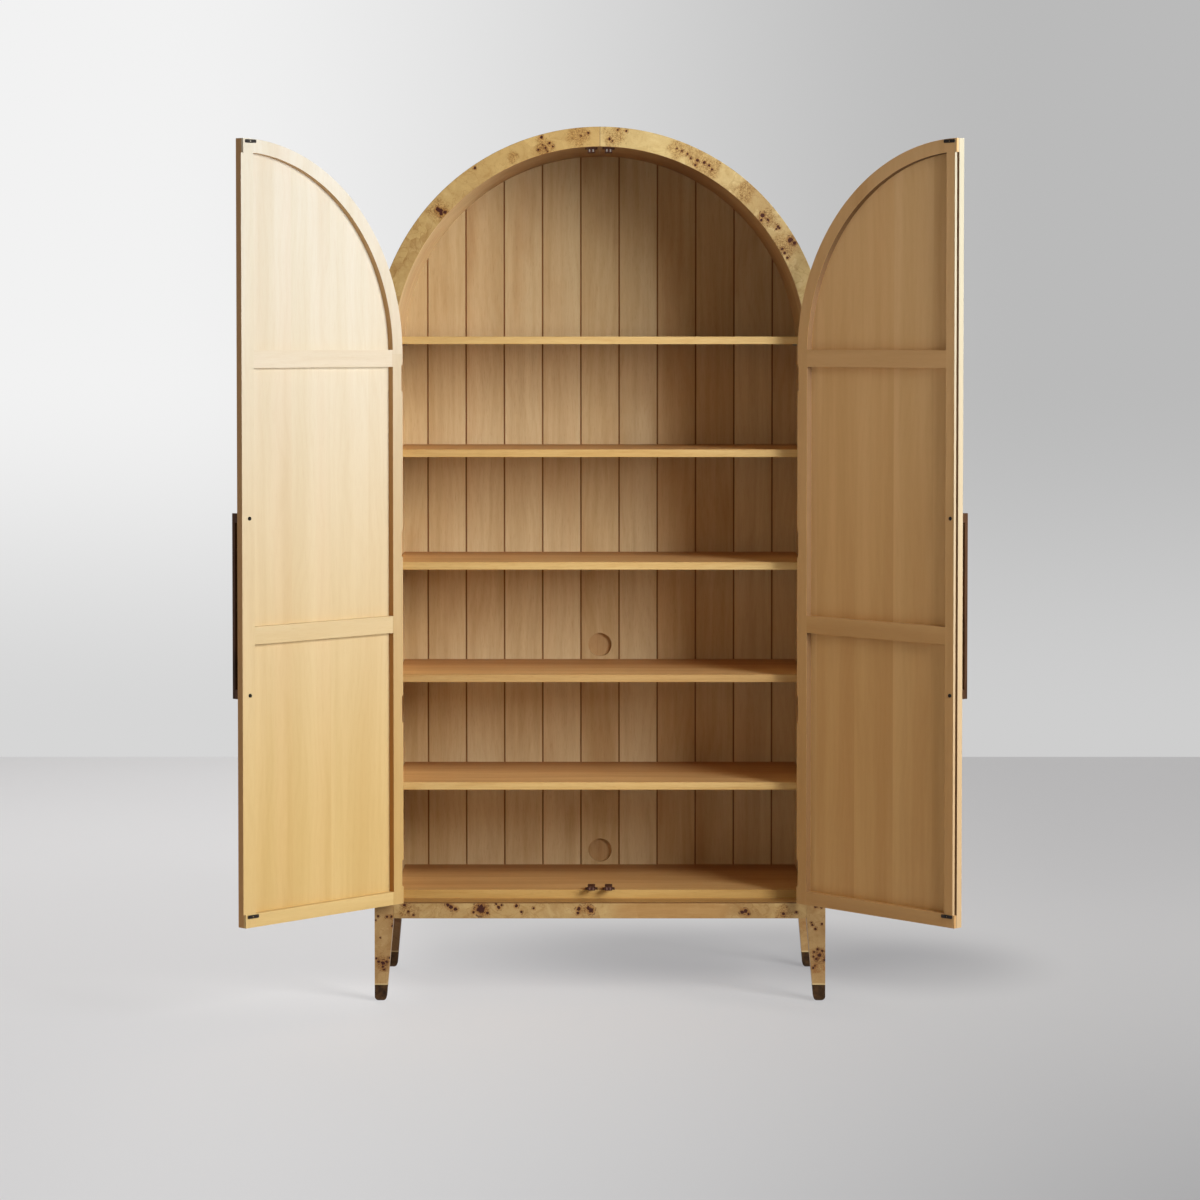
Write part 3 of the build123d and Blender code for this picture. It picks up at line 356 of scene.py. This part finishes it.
def carcase_wood(name, eyes, spread, shades=()):
    """Burl outside, plain wood on the inner faces, with painted shade high up inside the arch."""
    made, shader, place = finish_of(name)
    # Painted light: the burl turns paler near the crown, above about 1.95 m, where the light is strongest.
    lit_top = place.axis(2).above(1.95, 2.1) * 0.35
    colour, roughness, height = burl(place, eyes, spread, shades, lit_top)
    left = place.axis(0).above(0.0004, -0.0004)
    colour = colour.times(tint(240, 226, 206), left * 0.85)
    joint = place.axis(0).maths("ABSOLUTE").above(0.0012, 0.0005)
    colour = colour.times(tint(150, 112, 74), joint * 0.7)
    plain, _, _ = grained(place, "Z", tint(230, 204, 158), tint(214, 184, 136), (0.0, 0.4, 0.0))
    # Painted shade: the plain inner faces are darkened near the crown, and on the right of the arch above the
    # spring.
    plain = plain.times(tint(176, 150, 122), place.axis(2).above(1.9, 2.08))
    plain = plain.times(tint(214, 198, 184), place.axis(2).above(1.6, 1.8) * place.axis(0).above(0.05, 0.25))
    inner = from_axis(place).above(R_IN + 0.0006, R_IN + 0.0002)
    coat_with(shader, colour.over(plain, inner), roughness, height, 0.0003, coat=0.08)
    return made


laid_on(carcase_wood("post_burl", [], 0.68), "left_post", "right_post")
laid_on(carcase_wood("left_arch_burl", LEFT_ARCH_EYES, 0.9, LEFT_ARCH_SHADES), "left_arch_face")
laid_on(carcase_wood("right_arch_burl", RIGHT_ARCH_EYES, 0.9, RIGHT_ARCH_SHADES), "right_arch_face")


# ---- side panels and arch shells ----
# The thick sides and the half-round top behind the front faces, burl outside and plain inside, rabbeted
# at the rear for the back boards.
laid_on(carcase_wood("side_veneer", [], 0.6),
        "left_side_panel", "right_side_panel", "left_arch_shell", "right_arch_shell")


# ---- deck and shelves ----
# Wide plain boards with a solid golden edge at the front, their grain running from side to side. Each
# shelf rests on four steel pins.
SHELF_FRONT_Y = 0.058
SECOND_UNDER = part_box("shelf_2")[0].z
SECOND_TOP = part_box("shelf_2")[1].z


def shelf_finish(name, seed, pale, deep, edge_pale, edge_deep):
    made, shader, place = finish_of(name)
    up = place.axis(2)
    colour, roughness, height = grained(place, "X", pale, deep, seed)
    # Painted shade: the shelves and deck darken towards the back, under the shelf above.
    colour = colour.times(tint(206, 184, 168), place.axis(1).above(0.22, 0.47))
    front = place.axis(1).above(SHELF_FRONT_Y + 0.0012, SHELF_FRONT_Y + 0.0006)
    edge, _, _ = grained(place, "X", edge_pale, edge_deep, (0.2, 0.7, 0.1))
    # Painted shade: the front edge of the second shelf is made darker.
    second_edge_shade = up.above(SECOND_UNDER - 0.002, SECOND_UNDER) * up.above(SECOND_TOP + 0.002, SECOND_TOP)
    edge = edge.times(tint(228, 216, 208), second_edge_shade)
    coat_with(shader, colour.over(edge, front), roughness, height, 0.0003, coat=0.03)
    return made


laid_on(shelf_finish("shelf_wood", (0.1, 0.2, 0.0), tint(236, 196, 136), tint(220, 176, 118),
                     tint(228, 196, 134), tint(212, 174, 110)), *[f"shelf_{n}" for n in range(1, 6)])
laid_on(shelf_finish("deck_wood", (0.5, 0.1, 0.2), tint(218, 178, 120), tint(202, 158, 102),
                     tint(213, 177, 110), tint(198, 157, 90)), "deck")

pin_steel, shader, place = finish_of("pin_steel")
brushed = place.scaled(0.1, 1.0, 1.0).noise(900.0, 2.0)
colour = brushed.above(0.4, 0.7).tinted(tint(190, 188, 182), tint(150, 147, 140))
coat_with(shader, colour, 0.28 + brushed * 0.15, brushed, 0.0001, metallic=1.0)
laid_on(pin_steel, "shelf_pins")


# ---- back boards ----
# Upright tongued boards with a V groove at every joint. Each board has its own tone and run of grain, and
# the grooves are painted dark as the shade inside the V.
BOARD_PITCH = 0.098


def board_wood(name):
    made, shader, place = finish_of(name)
    number = (place.axis(0) * (1 / BOARD_PITCH) + 0.5).maths("FLOOR")
    pick = number.node("TexWhiteNoise", {"noise_dimensions": "1D"}, {"W": number}, output=0)
    shift = number.node("CombineXYZ", {}, {0: number * 0.37, 1: number * 0.61, 2: number * 1.7})
    own = place.moved(shift)
    colour, roughness, height = grained(own, "Z", tint(229, 209, 168), tint(213, 188, 144), figure=0.8)
    colour = colour.times(tint(241, 232, 219), pick)
    smoke = own.scaled(1.0, 1.0, 0.4).noise(7.0, 2.0)
    colour = colour.times(tint(222, 200, 178), smoke.above(0.54, 0.72) * 0.4)
    # Painted shade: the boards darken towards the top, under the arch.
    colour = colour.times(tint(238, 236, 233), place.axis(2).above(1.5, 1.75))
    seam = ((place.axis(0) * (1 / BOARD_PITCH) + 0.5).maths("FRACT") - 0.5).maths("ABSOLUTE")
    # Painted shade: the V grooves are coloured dark for the shade inside them.
    groove = seam.above(0.477, 0.4815)
    colour = colour.over(tint(142, 98, 56), groove * 0.95)
    coat_with(shader, colour, roughness + groove * 0.35, height, 0.0004, coat=0.04)
    return made


back_wood = board_wood("back_wood")
laid_on(back_wood, "back_boards")


# ---- covers of the cable holes ----
# A thin round plate of the same wood is stuck over each hole from behind, its rear rim eased. It is pulled
# off when a cable has to pass.
COVER_R = 0.038
COVER_FRONT = 0.478
COVER_THICK = 0.0019
LOWER_HOLE_Z = 0.301
UPPER_HOLE_Z = 0.831
cover_wood, shader, place = finish_of("cover_wood")
colour, roughness, height = grained(place, "Z", tint(206, 172, 126), tint(184, 148, 102), (0.4, 0.3, 0.0))
coat_with(shader, colour, roughness, height, 0.0003, coat=0.04)
bpy.ops.mesh.primitive_cylinder_add(vertices=72, radius=COVER_R, depth=COVER_THICK, rotation=(pi / 2, 0, 0),
                                    location=(0.0, COVER_FRONT + COVER_THICK / 2, LOWER_HOLE_Z))
lower_cover = bpy.context.object
lower_cover.name = "lower_hole_cover"
bpy.ops.object.transform_apply(location=True, rotation=True, scale=True)
bpy.ops.object.mode_set(mode="EDIT")
bpy.ops.mesh.select_all(action="DESELECT")
bpy.ops.object.mode_set(mode="OBJECT")
for edge in lower_cover.data.edges:
    edge.select = all(lower_cover.data.vertices[v].co.y > COVER_FRONT + 0.001 for v in edge.vertices)
bpy.ops.object.mode_set(mode="EDIT")
bpy.ops.mesh.bevel(offset=0.0008, segments=3)
bpy.ops.object.mode_set(mode="OBJECT")
bpy.ops.object.shade_smooth_by_angle(angle=radians(30))
lower_cover.data.materials.append(cover_wood)
bpy.ops.object.duplicate(linked=False)
upper_cover = bpy.context.object
upper_cover.name = "upper_hole_cover"
bpy.ops.transform.translate(value=(0.0, 0.0, UPPER_HOLE_Z - LOWER_HOLE_Z))
bpy.ops.object.transform_apply(location=True, rotation=True, scale=True)
for cover in (lower_cover, upper_cover):
    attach(cover, "cabinet")


# ---- door panels ----
# Each door is a thin panel with an arched top, burl outside and plain quarter-cut veneer inside, glued to a
# frame. Here the doors stand open, so the pattern is laid out on the shut door and turned with it.
PIN_X = 0.50125
PIN_Y = -0.008
DOOR_OPEN = radians(134.0)
DOOR_THICK = 0.026
PANEL_THICK = 0.010
DOOR_LOW_Z = 0.3
DOOR_HIGH_Z = 2.1
LEFT = -1
RIGHT = 1


def on_shut_door(place, side):
    """The place on a door's piece as it is when the door is shut."""
    turn = -side * DOOR_OPEN
    x, y = side * PIN_X, PIN_Y
    move = (x - (x * cos(turn) - y * sin(turn)), y - (x * sin(turn) + y * cos(turn)), 0.0)
    return place.node("Mapping", {}, {"Vector": place, "Location": move, "Rotation": (0.0, 0.0, turn)})


def door_edge(shut, side):
    """1 on the free edge of a shut door, short of the inner face."""
    free = (shut.axis(0) * side).above(0.0018, 0.0014)
    return free * shut.axis(1).above(DOOR_THICK - 0.0002, DOOR_THICK - 0.0006)


def edge_wood(shut, side):
    """The colour of a door's free edge, from the foot to the top: deeper and warmer on the left door as
    painted shade, paler on the right door as painted light.
    """
    if side == LEFT:
        return shut.axis(2).above(DOOR_LOW_Z, 2.0).tinted(tint(206, 158, 102), tint(208, 168, 124))
    return shut.axis(2).above(DOOR_LOW_Z, 2.0).tinted(tint(198, 168, 127), tint(186, 180, 159))


def panel_finish(name, side, pale, deep, low_pale, low_deep):
    """Burl on the outside of a panel, strips of plain veneer inside, paler towards the top as painted light.
    """
    made, shader, place = finish_of(name)
    shut = on_shut_door(place, side)
    outer, _, _ = burl(shut, [], 0.60)
    strip = (shut.axis(0) * 8.2 + 0.31).maths("FLOOR")
    pick = strip.node("TexWhiteNoise", {"noise_dimensions": "1D"}, {"W": strip}, output=0)
    own = shut.moved(strip.node("CombineXYZ", {}, {0: strip * 0.21, 1: 0.0, 2: strip * 0.9}))
    upper, roughness, height = grained(own, "Z", pale, deep, figure=0.35)
    lower, _, _ = grained(own, "Z", low_pale, low_deep, figure=0.35)
    # Painted light: the inside runs from the pale colours at the top to the deeper ones at the foot, as the
    # light falls off downwards.
    colour = upper.over(lower, shut.axis(2).above(DOOR_HIGH_Z, DOOR_LOW_Z))
    colour = colour.times(tint(251, 247, 241), pick)
    colour = colour.over(edge_wood(shut, side), door_edge(shut, side))
    colour = colour.over(outer, shut.axis(1).above(0.0008, 0.0003))
    coat_with(shader, colour, roughness, height, 0.0002, coat=0.04)
    return made


# Painted light and shade: the left door's wood is a paler, lit copy and the right door's a darker, shaded
# copy of the same veneer.
LIT_LEFT_WOOD = (tint(238, 234, 223), tint(232, 226, 210), tint(226, 197, 136), tint(218, 187, 124))
SHADED_RIGHT_WOOD = (tint(228, 192, 143), tint(218, 180, 129), tint(208, 168, 113), tint(197, 155, 100))
laid_on(panel_finish("left_panel_wood", LEFT, *LIT_LEFT_WOOD), "left_door_panel")
laid_on(panel_finish("right_panel_wood", RIGHT, *SHADED_RIGHT_WOOD), "right_door_panel")


# ---- door frames ----
# Solid stiles and rails glued behind each panel: a hinge stile, a meeting stile with a lip or a rabbet, two
# middle rails, a bottom rail and a bent rail that follows the arch.
RABBET_X = 0.007
RABBET_Y = 0.018


def frame_finish(name, side, along, woods, seed):
    """Plain solid wood, with painted shade on the walls that look in towards the panel, on the left door's
    hinge stile and over the whole right door.
    """
    made, shader, place = finish_of(name)
    shut = on_shut_door(place, side)
    upper, roughness, height = grained(shut, along, woods[0], woods[1], seed, 0.35)
    lower, _, _ = grained(shut, along, woods[2], woods[3], seed, 0.35)
    # Painted light: paler at the top, deeper at the foot.
    colour = upper.over(lower, shut.axis(2).above(DOOR_HIGH_Z, DOOR_LOW_Z))
    # Painted shade: the right door's frame is a darker copy of the same wood.
    if side == RIGHT:
        colour = colour.times(tint(240, 235, 230))
    else:
        # Painted shade: the left door's hinge stile is darker, most of all low down.
        hinge_shade = from_axis(shut).above(0.4665, 0.4675) * shut.axis(2).above(DOOR_HIGH_Z, 1.2)
        colour = colour.times(tint(236, 227, 215), hinge_shade)
    if along == "Z":
        # Painted shade: the recess walls between frame and panel are darkened, on the right door most of all
        # high up.
        within = from_axis(shut).above(0.4900, 0.4885) * shut.axis(0).maths("ABSOLUTE").above(0.020, 0.0215)
        wall = within * shut.axis(1).above(DOOR_THICK - 0.00025, DOOR_THICK - 0.0005)
        wall = wall * shut.axis(1).above(PANEL_THICK + 0.0001, PANEL_THICK + 0.0003)
        if side == LEFT:
            colour = colour.times(tint(206, 171, 126), wall)
        else:
            high = shut.axis(2).above(1.65, 1.95).tinted(tint(202, 200, 208), tint(121, 108, 98))
            colour = colour.times(high, wall)
    colour = colour.over(edge_wood(shut, side), door_edge(shut, side))
    if side == RIGHT:
        rabbet = shut.axis(0).above(RABBET_X + 0.0008, RABBET_X + 0.0004)
        rabbet = rabbet * shut.axis(1).above(RABBET_Y - 0.0005, RABBET_Y - 0.0002)
        side_wall = rabbet * shut.axis(0).above(RABBET_X - 0.0006, RABBET_X - 0.0002)
        colour = colour.over(edge_wood(shut, side), side_wall)
        # Painted shade: the bed of the right door's rabbet is coloured dark.
        rabbet_bed_shade = rabbet * shut.axis(1).above(RABBET_Y + 0.0007, RABBET_Y + 0.0004)
        colour = colour.over(tint(96, 66, 36), rabbet_bed_shade)
    coat_with(shader, colour, roughness, height, 0.0003, coat=0.08)
    return made


# The frames take the same lit and shaded copies of the wood as the panels: painted light and shade.
for side, word, woods in ((LEFT, "left", LIT_LEFT_WOOD), (RIGHT, "right", SHADED_RIGHT_WOOD)):
    laid_on(frame_finish(f"{word}_stile_wood", side, "Z", woods, (0.3, 0.2, 0.0)),
            f"{word}_hinge_stile", f"{word}_meeting_stile")
    laid_on(frame_finish(f"{word}_rail_wood", side, "X", woods, (0.1, 0.3, 0.2)),
            f"{word}_upper_rail", f"{word}_lower_rail", f"{word}_bottom_rail")
    laid_on(frame_finish(f"{word}_arch_wood", side, "Z", woods, (0.6, 0.1, 0.4)), f"{word}_arch_rail")


# ---- hinges ----
# Four butt hinges a door, with dark bronze leaves let into the wood, loose pins with button ends, and
# countersunk screws.
def patina(name, bright, dark, rough, metallic=0.9, low_shade=None):
    made, shader, place = finish_of(name)
    blotch = place.noise(90.0, 4.0, 0.6)
    scratch = place.scaled(1.0, 1.0, 0.08).noise(1100.0, 2.0, 0.6)
    colour = blotch.above(0.34, 0.64).tinted(bright, dark)
    colour = colour.over(bright, scratch.above(0.62, 0.74) * 0.4)
    # Painted shade: parts low down are darkened by the given colour.
    if low_shade:
        colour = colour.times(low_shade, place.axis(2).above(1.2, 1.0))
    coat_with(shader, colour, rough + blotch * 0.16, scratch * 0.6 + blotch * 0.4, 0.00012, metallic=metallic)
    return made


laid_on(patina("hinge_bronze", tint(120, 92, 62), tint(62, 46, 34), 0.34),
        "frame_hinge_leaves", "hinge_pins", "left_door_hinge_leaves", "right_door_hinge_leaves")
laid_on(patina("screw_bronze", tint(150, 120, 84), tint(96, 74, 52), 0.3),
        "frame_hinge_screws", "left_door_hinge_screws", "right_door_hinge_screws")


# ---- handles ----
# A flat bronze bar on two end blocks on the outside of each door, bolted from the inside with dark
# round-headed bolts.
def handle_bronze(name, bright, dark):
    made, shader, place = finish_of(name)
    wear = place.scaled(1.0, 1.0, 0.15).noise(60.0, 3.0)
    scratch = place.scaled(1.0, 1.0, 0.04).noise(900.0, 2.0)
    colour = wear.above(0.35, 0.7).tinted(bright, dark)
    colour = colour.over(bright, scratch.above(0.62, 0.74) * 0.25)
    coat_with(shader, colour, 0.34 + wear * 0.12, scratch, 0.00006, metallic=0.8)
    return made


# Painted light and shade: the left handle, in shade, is a darker copy of the bronze, and the right handle, in
# the light, a brighter one.
laid_on(handle_bronze("left_handle_bronze", tint(84, 56, 40), tint(54, 36, 27)),
        "left_handle_bar", "left_handle_posts")
laid_on(handle_bronze("right_handle_bronze", tint(122, 86, 60), tint(82, 56, 38)),
        "right_handle_bar", "right_handle_posts")
laid_on(patina("bolt_dark", tint(22, 15, 10), tint(12, 9, 7), 0.6, 0.0),
        "left_handle_bolts", "right_handle_bolts")


# ---- catches and strike plates ----
# Twin magnet catches on the deck and under the crown: dark brown moulded bodies with bright steel poles.
# Black steel strike plates on the doors meet them.
laid_on(patina("strike_black", tint(44, 34, 30), tint(20, 16, 15), 0.42, 0.3),
        "left_strike_plates", "right_strike_plates")
catch_brown, shader, place = finish_of("catch_brown")
speckle = place.noise(700.0, 2.0, 0.6)
colour = speckle.above(0.4, 0.7).tinted(tint(66, 36, 28), tint(84, 50, 38))
coat_with(shader, colour, 0.5 + speckle * 0.1, speckle, 0.0001)
laid_on(catch_brown, "catch_bodies")
# Painted reflection: the poles of the deck catches are darkened, as they reflect the dark wood around them.
laid_on(patina("pole_steel", tint(240, 238, 232), tint(206, 202, 194), 0.26, 1.0, tint(168, 132, 122)),
        "catch_magnets")


# ---- floor, wall and light ----
# A pale floor and a pale wall behind the cabinet, with painted light on both and painted shadows on the
# floor; a large soft lamp on the right, a weak one on the left, a third behind for the back, and soft light
# all round.
WALL_Y = 4.88
bpy.ops.mesh.primitive_plane_add(size=60.0, location=(0.0, 0.0, 0.0))
floor = bpy.context.object
floor.name = "floor"
bpy.ops.mesh.primitive_plane_add(size=60.0, location=(0.0, WALL_Y, 30.0), rotation=(pi / 2, 0.0, 0.0))
wall = bpy.context.object
wall.name = "wall"
bpy.ops.object.transform_apply(location=True, rotation=True, scale=True)


def paper(name, left, right, low_left, low_right, glow, one_sided):
    """Backdrop paper, part lit and part glowing, with painted light falling from a brighter left to a darker
    right.
    """
    made, shader, place = finish_of(name)
    tree = made.node_tree
    # Painted light: the paper is brighter on the left than on the right, and its lower or nearer part has its
    # own pair of colours.
    down = place.axis(2).above(1.5, 0.1) if one_sided else place.axis(1).above(1.5, -3.0)
    colour = place.axis(0).above(-1.8, 1.7) if one_sided else place.axis(0).above(-1.0, 1.6)
    colour = colour.tinted(left, right).over(colour.tinted(low_left, low_right), down)
    if not one_sided:
        # Painted light: the floor is lifted paler to the left of the cabinet, where a cast shadow would fall.
        light_lift = place.axis(1).above(-0.3, 0.3) * place.axis(1).above(4.0, 2.0)
        colour = colour.over(tint(246, 246, 248), light_lift * place.axis(0).above(-0.38, -0.62) * 0.8)
        # Painted shadows: two soft dark pools on the floor under and to the right of the cabinet, each given
        # as x, y, width, depth and shade.
        for x, y, wide, deep, shade in ((0.34, 0.68, 0.92, 0.62, 226), (0.80, 0.46, 0.44, 0.5, 234)):
            pool = place.moved((-x, -y, 0.0)).scaled(1 / wide, 1 / deep, 0.0)
            pool = pool.node("VectorMath", {"operation": "LENGTH"}, {0: pool}, output=1)
            colour = colour.times(tint(shade, shade, shade + 1), pool.above(1.0, 0.3))
    tree.links.new(colour.socket, shader.inputs["Base Color"])
    shader.inputs["Roughness"].default_value = 0.9
    path = tree.nodes.new("ShaderNodeLightPath")
    mirrored = Wire(tree, path.outputs["Is Glossy Ray"])
    seen = Wire(tree, path.outputs["Is Camera Ray"]).maths("MAXIMUM", mirrored)
    light = colour.node("Emission", {}, {"Color": colour, "Strength": 1.0})
    mixed = colour.node("MixShader", {}, {0: seen * glow, 1: Wire(tree, shader.outputs["BSDF"]), 2: light})
    if one_sided:
        behind = colour.node("NewGeometry", {}, {}, output=6)
        mixed = colour.node("MixShader", {}, {0: behind, 1: mixed, 2: colour.node("BsdfTransparent")})
    tree.links.new(mixed.socket, tree.nodes["Material Output"].inputs["Surface"])
    return made


floor.data.materials.append(paper("floor_paper", tint(236, 236, 238), tint(208, 208, 210),
                                  tint(225, 226, 229), tint(142, 143, 146), 0.62, False))
wall.data.materials.append(paper("wall_paper", tint(242, 242, 242), tint(186, 186, 186),
                                 tint(214, 214, 214), tint(206, 206, 206), 1.0, True))


def lamp(name, spot, target, size, power, colour):
    data = bpy.data.lights.new(name, "AREA")
    data.shape = "RECTANGLE"
    data.size, data.size_y = size
    data.energy = power
    data.color = colour
    made = bpy.data.objects.new(name, data)
    bpy.context.scene.collection.objects.link(made)
    made.location = spot
    aim = Vector(target) - Vector(spot)
    made.rotation_euler = aim.to_track_quat("-Z", "Y").to_euler()


lamp("key", (2.65, -2.5, 2.2), (0.0, 0.0, 1.3), (1.9, 1.8), 156.0, (1.0, 0.99, 0.96))
lamp("fill", (-2.6, -4.0, 1.9), (0.0, 0.0, 1.0), (2.4, 2.4), 10.0, (1.0, 0.9, 0.8))
lamp("rear", (-1.6, 4.0, 2.6), (0.0, 0.5, 1.1), (2.4, 2.4), 25.0, (1.0, 1.0, 1.0))
world = bpy.data.worlds.new("studio")
bpy.context.scene.world = world
world.use_nodes = True
sky = world.node_tree.nodes["Background"]
sky.inputs["Color"].default_value = (1.0, 0.83, 0.62, 1.0)
sky.inputs["Strength"].default_value = 0.20
plain_sky = world.node_tree.nodes.new("ShaderNodeBackground")
plain_sky.inputs["Color"].default_value = tint(222, 222, 222)
path = world.node_tree.nodes.new("ShaderNodeLightPath")
either = world.node_tree.nodes.new("ShaderNodeMixShader")
world.node_tree.links.new(path.outputs["Is Camera Ray"], either.inputs[0])
world.node_tree.links.new(sky.outputs[0], either.inputs[1])
world.node_tree.links.new(plain_sky.outputs[0], either.inputs[2])
world.node_tree.links.new(either.outputs[0], world.node_tree.nodes["World Output"].inputs["Surface"])

CAMERA_AWAY = 8.358
CAMERA_UP = 1.624
CAMERA_DOWN_DEG = 2.0
LENS_MM = 103.3
camera = bpy.data.objects.new("camera", bpy.data.cameras.new("camera"))
bpy.context.scene.collection.objects.link(camera)
camera.location = (0.0, -CAMERA_AWAY, CAMERA_UP)
camera.rotation_euler = (radians(90.0 - CAMERA_DOWN_DEG), 0.0, 0.0)
camera.data.sensor_width = 36.0
camera.data.lens = LENS_MM
camera.data.shift_y = -0.12
bpy.context.scene.camera = camera
bpy.context.scene.view_settings.view_transform = "Standard"
